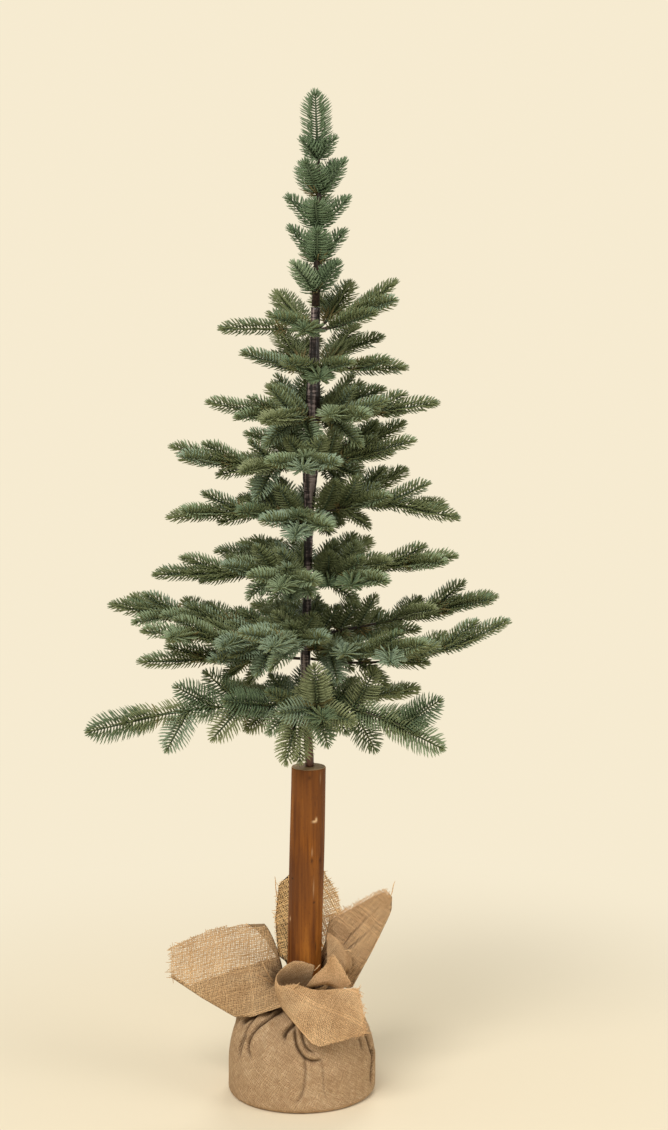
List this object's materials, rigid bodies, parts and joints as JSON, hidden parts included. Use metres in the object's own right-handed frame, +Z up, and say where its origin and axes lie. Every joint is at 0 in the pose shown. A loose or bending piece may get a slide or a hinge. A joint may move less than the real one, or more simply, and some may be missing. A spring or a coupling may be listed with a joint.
{
  "type": "artificial fir tree",
  "caption": "Slim artificial fir: wired needle boughs in open rings on a wrapped pole and a log trunk, standing on a burlap-wrapped base with loose cloth corners.",
  "frame": {"origin": "middle of the base's flat underside", "axes": "+Z up along the trunk, -Y towards the front, where the hanging cloth corner is, +X towards the pointed cloth corner"},
  "size_m": [0.6283, 0.4825, 1.5016],
  "materials": {
    "burlap": "coarse woven jute",
    "twine": "pale twisted twine",
    "bark": "brown bark, satin",
    "wrapping": "dark brown tape wrapping, satin",
    "needles": "moulded blue-green needles, satin"
  },
  "bodies": {
    "root": {"bough_12_right": "wrapping", "bough_14_left": "wrapping", "bough_14_right": "wrapping", "burlap_back": "burlap", "burlap_front": "burlap", "burlap_left": "burlap", "burlap_right": "burlap", "foliage_06_back_left": "needles", "foliage_06_back_right": "needles", "foliage_06_front": "needles", "foliage_06_front_right": "needles", "foliage_06_left": "needles", "foliage_06_right": "needles", "foliage_07_back_left": "needles", "foliage_07_back_right": "needles", "foliage_07_front": "needles", "foliage_07_left": "needles", "foliage_07_right": "needles", "foliage_08_back_left": "needles", "foliage_08_back_right": "needles", "foliage_08_front_left": "needles", "foliage_08_front_right": "needles", "foliage_08_left": "needles", "foliage_08_right": "needles", "foliage_09_back": "needles", "foliage_09_back_right": "needles", "foliage_09_front": "needles", "foliage_09_left": "needles", "foliage_09_right": "needles", "foliage_10_back_left": "needles", "foliage_10_back_right": "needles", "foliage_10_front": "needles", "foliage_10_left": "needles", "foliage_10_right": "needles", "foliage_11_back_left": "needles", "foliage_11_back_right": "needles", "foliage_11_front": "needles", "foliage_11_front_right": "needles", "foliage_11_left": "needles", "foliage_11_right": "needles", "foliage_12_back": "needles", "foliage_12_front": "needles", "foliage_12_left": "needles", "foliage_12_right": "needles", "foliage_13_back_right": "needles", "foliage_13_front_right": "needles", "foliage_13_left": "needles", "foliage_14_left": "needles", "foliage_14_right": "needles", "foliage_15_back_left": "needles", "foliage_15_back_right": "needles", "foliage_15_front": "needles", "foliage_15_front_left": "needles", "foliage_15_front_right": "needles", "foliage_15_left": "needles", "root_ball": "burlap", "tree_top": "needles", "twine_tie": "twine", "upper_pole": "wrapping", "wooden_trunk": "bark"}
  },
  "joints": []
}
